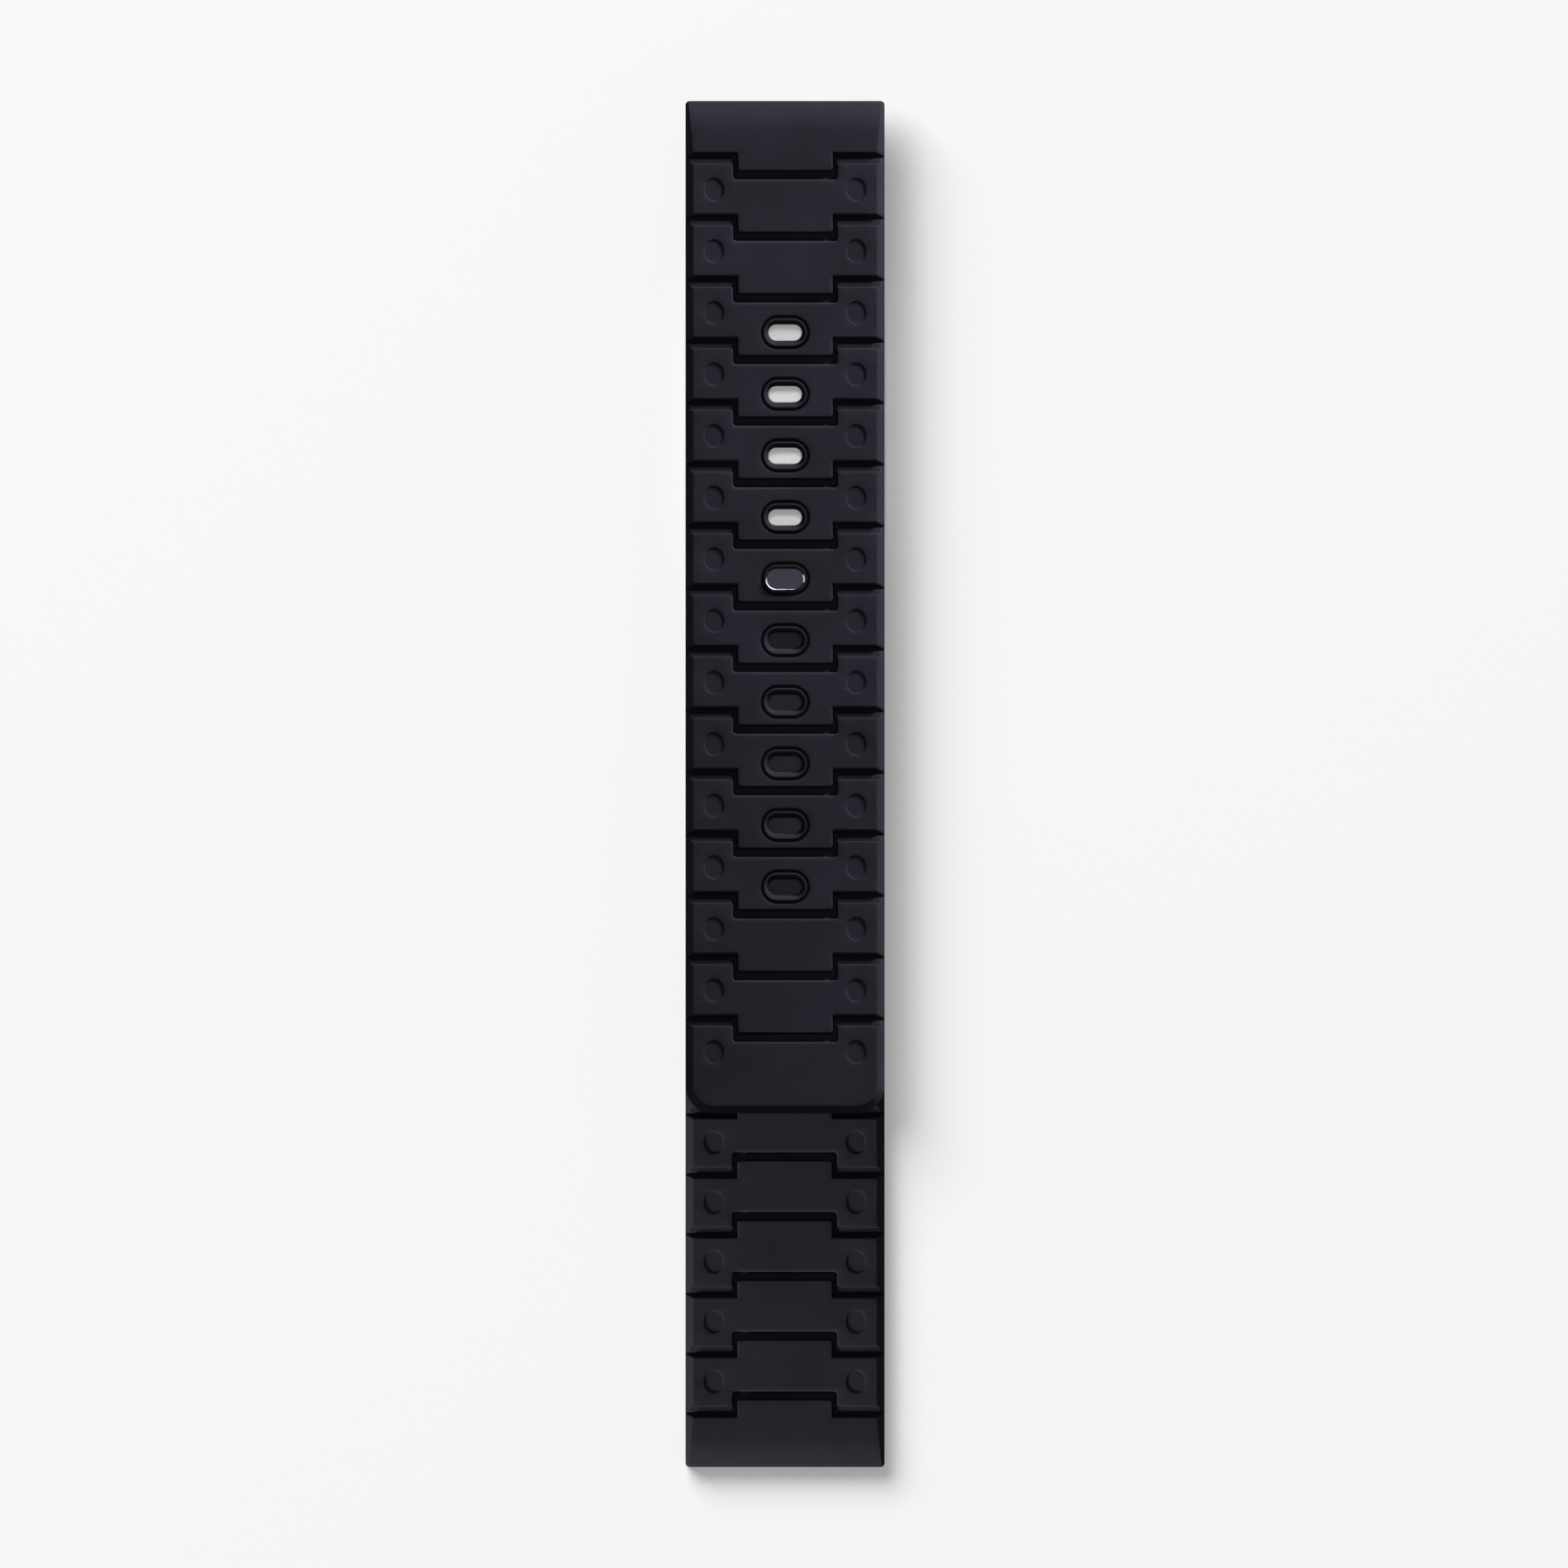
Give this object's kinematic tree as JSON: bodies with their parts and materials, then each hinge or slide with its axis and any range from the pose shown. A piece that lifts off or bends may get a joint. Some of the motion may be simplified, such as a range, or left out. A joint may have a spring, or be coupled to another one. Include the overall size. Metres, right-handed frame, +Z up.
{
  "type": "rubber watch strap",
  "caption": "Two-piece black rubber watch strap with a tank-track tread, oblong adjustment slots, a metal button stud and hidden sliding-latch bar clips.",
  "frame": {"origin": "middle of the underside of the buttoned, flat strap, on the surface it lies on", "axes": "+Y along the strap towards the long half's lug end, +X across the strap, +Z up through the tread"},
  "size_m": [0.022, 0.151, 0.0082],
  "materials": {
    "rubber_long": "matte moulded black fluoroelastomer",
    "rubber_short": "matte moulded black fluoroelastomer",
    "stud_steel": "polished dark coated stainless steel",
    "clip_steel": "brushed stainless steel",
    "latch_steel": "dark coated stainless steel",
    "spring_steel": "bright spring wire"
  },
  "bodies": {
    "short_tip": {"short_link_14": "rubber_short", "closure_stud": "stud_steel", "stud_backing_plate": "clip_steel"},
    "short_link_13": {"short_link_13": "rubber_short"},
    "short_link_12": {"short_link_12": "rubber_short"},
    "short_link_11": {"short_link_11": "rubber_short"},
    "short_link_10": {"short_link_10": "rubber_short"},
    "short_link_09": {"short_link_09": "rubber_short"},
    "short_link_08": {"short_link_08": "rubber_short"},
    "short_link_07": {"short_link_07": "rubber_short"},
    "short_link_06": {"short_link_06": "rubber_short"},
    "short_link_05": {"short_link_05": "rubber_short"},
    "short_link_04": {"short_link_04": "rubber_short"},
    "short_link_03": {"short_link_03": "rubber_short"},
    "short_link_02": {"short_link_02": "rubber_short"},
    "short_link_01": {"short_link_01": "rubber_short"},
    "short_lug": {"short_lug": "rubber_short", "short_clip_frame": "clip_steel", "short_clip_cover": "clip_steel", "short_latch_springs": "spring_steel"},
    "long_link_07": {"long_link_07": "rubber_long", "buttonhole_lip": "rubber_long"},
    "long_link_06": {"long_link_06": "rubber_long"},
    "long_link_05": {"long_link_05": "rubber_long"},
    "long_link_04": {"long_link_04": "rubber_long"},
    "long_link_03": {"long_link_03": "rubber_long"},
    "long_link_02": {"long_link_02": "rubber_long"},
    "long_link_01": {"long_link_01": "rubber_long"},
    "long_lug": {"long_lug": "rubber_long", "long_clip_frame": "clip_steel", "long_clip_cover": "clip_steel", "long_latch_springs": "spring_steel"},
    "long_link_08": {"long_link_08": "rubber_long"},
    "long_link_09": {"long_link_09": "rubber_long"},
    "long_link_10": {"long_link_10": "rubber_long"},
    "long_link_11": {"long_link_11": "rubber_long"},
    "long_link_12": {"long_link_12": "rubber_long"},
    "long_link_13": {"long_link_13": "rubber_long"},
    "long_link_14": {"long_link_14": "rubber_long"},
    "long_link_15": {"long_link_15": "rubber_long"},
    "short_latch": {"short_latch": "latch_steel"},
    "long_latch": {"long_latch": "latch_steel"}
  },
  "joints": [
    {"name": "wrist_curl", "type": "hinge", "parent": "short_tip", "child": "short_link_13", "pos_m": [0, 0.01721, 0.00135], "axis": [1, 0, 0], "range_deg": [0, 8], "stiffness_Nm_per_rad": 0.01},
    {"name": "curl_short_12_13", "type": "hinge", "parent": "short_link_13", "child": "short_link_12", "pos_m": [0, 0.0106, 0.00135], "axis": [1, 0, 0], "range_deg": [0, 8], "stiffness_Nm_per_rad": 0.01},
    {"name": "curl_short_11_12", "type": "hinge", "parent": "short_link_12", "child": "short_link_11", "pos_m": [0, 0.004, 0.00135], "axis": [1, 0, 0], "range_deg": [0, 8], "stiffness_Nm_per_rad": 0.01},
    {"name": "curl_short_10_11", "type": "hinge", "parent": "short_link_11", "child": "short_link_10", "pos_m": [0, -0.00261, 0.00135], "axis": [1, 0, 0], "range_deg": [0, 8], "stiffness_Nm_per_rad": 0.01},
    {"name": "curl_short_09_10", "type": "hinge", "parent": "short_link_10", "child": "short_link_09", "pos_m": [0, -0.00921, 0.00135], "axis": [1, 0, 0], "range_deg": [0, 8], "stiffness_Nm_per_rad": 0.01},
    {"name": "curl_short_08_09", "type": "hinge", "parent": "short_link_09", "child": "short_link_08", "pos_m": [0, -0.01581, 0.00135], "axis": [1, 0, 0], "range_deg": [0, 8], "stiffness_Nm_per_rad": 0.01},
    {"name": "curl_short_07_08", "type": "hinge", "parent": "short_link_08", "child": "short_link_07", "pos_m": [0, -0.02242, 0.00135], "axis": [1, 0, 0], "range_deg": [0, 8], "stiffness_Nm_per_rad": 0.01},
    {"name": "curl_short_06_07", "type": "hinge", "parent": "short_link_07", "child": "short_link_06", "pos_m": [0, -0.02902, 0.00135], "axis": [1, 0, 0], "range_deg": [0, 8], "stiffness_Nm_per_rad": 0.01},
    {"name": "curl_short_05_06", "type": "hinge", "parent": "short_link_06", "child": "short_link_05", "pos_m": [0, -0.03562, 0.00135], "axis": [1, 0, 0], "range_deg": [0, 8], "stiffness_Nm_per_rad": 0.01},
    {"name": "curl_short_04_05", "type": "hinge", "parent": "short_link_05", "child": "short_link_04", "pos_m": [0, -0.04223, 0.00135], "axis": [1, 0, 0], "range_deg": [0, 14], "stiffness_Nm_per_rad": 0.01},
    {"name": "curl_short_03_04", "type": "hinge", "parent": "short_link_04", "child": "short_link_03", "pos_m": [0, -0.04883, 0.00135], "axis": [1, 0, 0], "range_deg": [0, 14], "stiffness_Nm_per_rad": 0.01},
    {"name": "curl_short_02_03", "type": "hinge", "parent": "short_link_03", "child": "short_link_02", "pos_m": [0, -0.05544, 0.00135], "axis": [1, 0, 0], "range_deg": [0, 14], "stiffness_Nm_per_rad": 0.01},
    {"name": "curl_short_01_02", "type": "hinge", "parent": "short_link_02", "child": "short_link_01", "pos_m": [0, -0.06204, 0.00135], "axis": [1, 0, 0], "range_deg": [0, 14], "stiffness_Nm_per_rad": 0.01},
    {"name": "curl_short_lug_01", "type": "hinge", "parent": "short_link_01", "child": "short_lug", "pos_m": [0, -0.06864, 0.00135], "axis": [1, 0, 0], "range_deg": [0, 14], "stiffness_Nm_per_rad": 0.01},
    {"name": "unbutton", "type": "slide", "parent": "short_tip", "child": "long_link_07", "axis": [0, 0, 1], "range_m": [0, 0.006], "deforming": ["buttonhole_lip"]},
    {"name": "curl_long_06_07", "type": "hinge", "parent": "long_link_07", "child": "long_link_06", "pos_m": [0, 0.0276, 0.00545], "axis": [-1, 0, 0], "range_deg": [0, 14], "stiffness_Nm_per_rad": 0.01},
    {"name": "curl_long_05_06", "type": "hinge", "parent": "long_link_06", "child": "long_link_05", "pos_m": [0, 0.0344, 0.00545], "axis": [-1, 0, 0], "range_deg": [0, 14], "stiffness_Nm_per_rad": 0.01},
    {"name": "curl_long_04_05", "type": "hinge", "parent": "long_link_05", "child": "long_link_04", "pos_m": [0, 0.04121, 0.00545], "axis": [-1, 0, 0], "range_deg": [0, 14], "stiffness_Nm_per_rad": 0.01},
    {"name": "curl_long_03_04", "type": "hinge", "parent": "long_link_04", "child": "long_link_03", "pos_m": [0, 0.04802, 0.00545], "axis": [-1, 0, 0], "range_deg": [0, 14], "stiffness_Nm_per_rad": 0.01},
    {"name": "curl_long_02_03", "type": "hinge", "parent": "long_link_03", "child": "long_link_02", "pos_m": [0, 0.05482, 0.00545], "axis": [-1, 0, 0], "range_deg": [0, 14], "stiffness_Nm_per_rad": 0.01},
    {"name": "curl_long_01_02", "type": "hinge", "parent": "long_link_02", "child": "long_link_01", "pos_m": [0, 0.06163, 0.00545], "axis": [-1, 0, 0], "range_deg": [0, 14], "stiffness_Nm_per_rad": 0.01},
    {"name": "curl_long_lug_01", "type": "hinge", "parent": "long_link_01", "child": "long_lug", "pos_m": [0, 0.06843, 0.00545], "axis": [-1, 0, 0], "range_deg": [0, 14], "stiffness_Nm_per_rad": 0.01},
    {"name": "curl_long_07_08", "type": "hinge", "parent": "long_link_07", "child": "long_link_08", "pos_m": [0, 0.02079, 0.00545], "axis": [1, 0, 0], "range_deg": [0, 3.2], "stiffness_Nm_per_rad": 0.01},
    {"name": "curl_long_08_09", "type": "hinge", "parent": "long_link_08", "child": "long_link_09", "pos_m": [0, 0.01399, 0.00545], "axis": [1, 0, 0], "range_deg": [0, 7.44], "stiffness_Nm_per_rad": 0.01},
    {"name": "curl_long_09_10", "type": "hinge", "parent": "long_link_09", "child": "long_link_10", "pos_m": [0, 0.00718, 0.00545], "axis": [1, 0, 0], "range_deg": [0, 7.44], "stiffness_Nm_per_rad": 0.01},
    {"name": "curl_long_10_11", "type": "hinge", "parent": "long_link_10", "child": "long_link_11", "pos_m": [0, 0.00038, 0.00545], "axis": [1, 0, 0], "range_deg": [0, 7.44], "stiffness_Nm_per_rad": 0.01},
    {"name": "curl_long_11_12", "type": "hinge", "parent": "long_link_11", "child": "long_link_12", "pos_m": [0, -0.00643, 0.00545], "axis": [1, 0, 0], "range_deg": [0, 7.44], "stiffness_Nm_per_rad": 0.01},
    {"name": "curl_long_12_13", "type": "hinge", "parent": "long_link_12", "child": "long_link_13", "pos_m": [0, -0.01324, 0.00545], "axis": [1, 0, 0], "range_deg": [0, 7.44], "stiffness_Nm_per_rad": 0.01},
    {"name": "curl_long_13_14", "type": "hinge", "parent": "long_link_13", "child": "long_link_14", "pos_m": [0, -0.02004, 0.00545], "axis": [1, 0, 0], "range_deg": [0, 7.44], "stiffness_Nm_per_rad": 0.01},
    {"name": "curl_long_14_15", "type": "hinge", "parent": "long_link_14", "child": "long_link_15", "pos_m": [0, -0.02685, 0.00545], "axis": [1, 0, 0], "range_deg": [0, 7.44], "stiffness_Nm_per_rad": 0.01},
    {"name": "short_latch_slide", "type": "slide", "parent": "short_lug", "child": "short_latch", "axis": [0, 1, 0], "range_m": [0, 0.001], "stiffness_N_per_m": 200, "springref_m": -0.0005, "deforming": ["short_latch_springs"]},
    {"name": "long_latch_slide", "type": "slide", "parent": "long_lug", "child": "long_latch", "axis": [0, -1, 0], "range_m": [0, 0.001], "stiffness_N_per_m": 200, "springref_m": -0.0005, "deforming": ["long_latch_springs"]}
  ],
  "couplings": [
    {"joint": "curl_short_12_13", "follows": "wrist_curl", "ratio": 1},
    {"joint": "curl_short_11_12", "follows": "wrist_curl", "ratio": 1},
    {"joint": "curl_short_10_11", "follows": "wrist_curl", "ratio": 1},
    {"joint": "curl_short_09_10", "follows": "wrist_curl", "ratio": 1},
    {"joint": "curl_short_08_09", "follows": "wrist_curl", "ratio": 1},
    {"joint": "curl_short_07_08", "follows": "wrist_curl", "ratio": 1},
    {"joint": "curl_short_06_07", "follows": "wrist_curl", "ratio": 1},
    {"joint": "curl_short_05_06", "follows": "wrist_curl", "ratio": 1},
    {"joint": "curl_short_04_05", "follows": "wrist_curl", "ratio": 1.75},
    {"joint": "curl_short_03_04", "follows": "wrist_curl", "ratio": 1.75},
    {"joint": "curl_short_02_03", "follows": "wrist_curl", "ratio": 1.75},
    {"joint": "curl_short_01_02", "follows": "wrist_curl", "ratio": 1.75},
    {"joint": "curl_short_lug_01", "follows": "wrist_curl", "ratio": 1.75},
    {"joint": "curl_long_06_07", "follows": "wrist_curl", "ratio": 1.75},
    {"joint": "curl_long_05_06", "follows": "wrist_curl", "ratio": 1.75},
    {"joint": "curl_long_04_05", "follows": "wrist_curl", "ratio": 1.75},
    {"joint": "curl_long_03_04", "follows": "wrist_curl", "ratio": 1.75},
    {"joint": "curl_long_02_03", "follows": "wrist_curl", "ratio": 1.75},
    {"joint": "curl_long_01_02", "follows": "wrist_curl", "ratio": 1.75},
    {"joint": "curl_long_lug_01", "follows": "wrist_curl", "ratio": 1.75},
    {"joint": "curl_long_07_08", "follows": "wrist_curl", "ratio": 0.4},
    {"joint": "curl_long_08_09", "follows": "wrist_curl", "ratio": 0.93},
    {"joint": "curl_long_09_10", "follows": "wrist_curl", "ratio": 0.93},
    {"joint": "curl_long_10_11", "follows": "wrist_curl", "ratio": 0.93},
    {"joint": "curl_long_11_12", "follows": "wrist_curl", "ratio": 0.93},
    {"joint": "curl_long_12_13", "follows": "wrist_curl", "ratio": 0.93},
    {"joint": "curl_long_13_14", "follows": "wrist_curl", "ratio": 0.93},
    {"joint": "curl_long_14_15", "follows": "wrist_curl", "ratio": 0.93}
  ]
}
